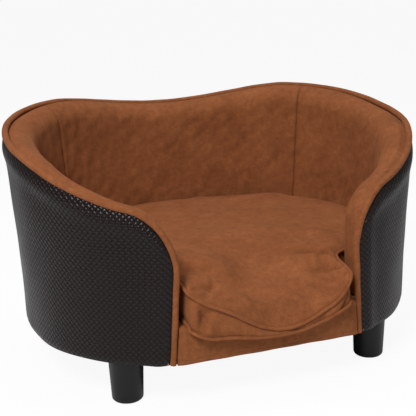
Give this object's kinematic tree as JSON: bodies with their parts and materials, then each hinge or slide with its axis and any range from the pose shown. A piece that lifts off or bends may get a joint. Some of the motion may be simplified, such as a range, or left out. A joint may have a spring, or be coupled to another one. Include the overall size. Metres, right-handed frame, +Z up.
{
  "type": "dog sofa bed",
  "caption": "Tub-shaped dog sofa bed: a padded wall with a rolled rim round a loose zipped cushion, open at the front, on a boarded base with short round legs.",
  "frame": {"origin": "on the floor under the middle of the bed's overall box", "axes": "+X along the width of the bed, to the right as seen from its open front; +Y towards its back; +Z up"},
  "size_m": [0.687, 0.541, 0.4144],
  "materials": {
    "woven_pu": "semi-gloss embossed weave",
    "suede": "brushed microsuede",
    "plywood": "unfinished",
    "foam": "open-cell polyurethane foam",
    "leg_plastic": "satin black",
    "felt": "felt",
    "zinc_steel": "zinc plated",
    "nonwoven": "spun-bonded non-woven",
    "zip_tape": "woven tape with a nylon coil",
    "zip_metal": "lacquered brown"
  },
  "bodies": {
    "bed_frame": {"outer_cover": "woven_pu", "wall_panel": "plywood", "rim_roll": "suede", "front_post_left": "plywood", "front_post_right": "plywood", "back_post_left": "plywood", "back_post_right": "plywood", "left_foam": "foam", "left_lining": "suede", "back_foam": "foam", "back_lining": "suede", "right_foam": "foam", "right_lining": "suede", "base_board": "plywood", "dust_cover": "nonwoven", "seat_deck": "plywood", "front_rail": "plywood", "back_rail": "plywood", "left_rail": "plywood", "centre_rail": "plywood", "right_rail": "plywood", "front_rail_cover": "suede", "front_rail_foam": "foam", "leg_front_left": "leg_plastic", "foot_glide_front_left": "felt", "hanger_bolt_front_left": "zinc_steel", "tee_nut_front_left": "zinc_steel", "leg_front_right": "leg_plastic", "foot_glide_front_right": "felt", "hanger_bolt_front_right": "zinc_steel", "tee_nut_front_right": "zinc_steel", "leg_back_left": "leg_plastic", "foot_glide_back_left": "felt", "hanger_bolt_back_left": "zinc_steel", "tee_nut_back_left": "zinc_steel", "leg_back_right": "leg_plastic", "foot_glide_back_right": "felt", "hanger_bolt_back_right": "zinc_steel", "tee_nut_back_right": "zinc_steel"},
    "cushion": {"cushion_cover": "suede", "cushion_fill": "foam", "cushion_top_piping": "suede", "cushion_bottom_piping": "suede", "zip_tape": "zip_tape"},
    "zip_slider": {"zip_slider": "zip_metal"},
    "zip_pull": {"zip_pull": "zip_metal"}
  },
  "joints": [
    {"name": "cushion_lift", "type": "slide", "parent": "bed_frame", "child": "cushion", "axis": [0, 0, 1], "range_m": [0, 0.33]},
    {"name": "zip_run", "type": "slide", "parent": "cushion", "child": "zip_slider", "axis": [1, 0, 0], "range_m": [0, 0.33]},
    {"name": "pull_swing", "type": "hinge", "parent": "zip_slider", "child": "zip_pull", "pos_m": [-0.172, 0.06046, 0.1387], "axis": [0, 1, 0], "range_deg": [0, 6]}
  ]
}
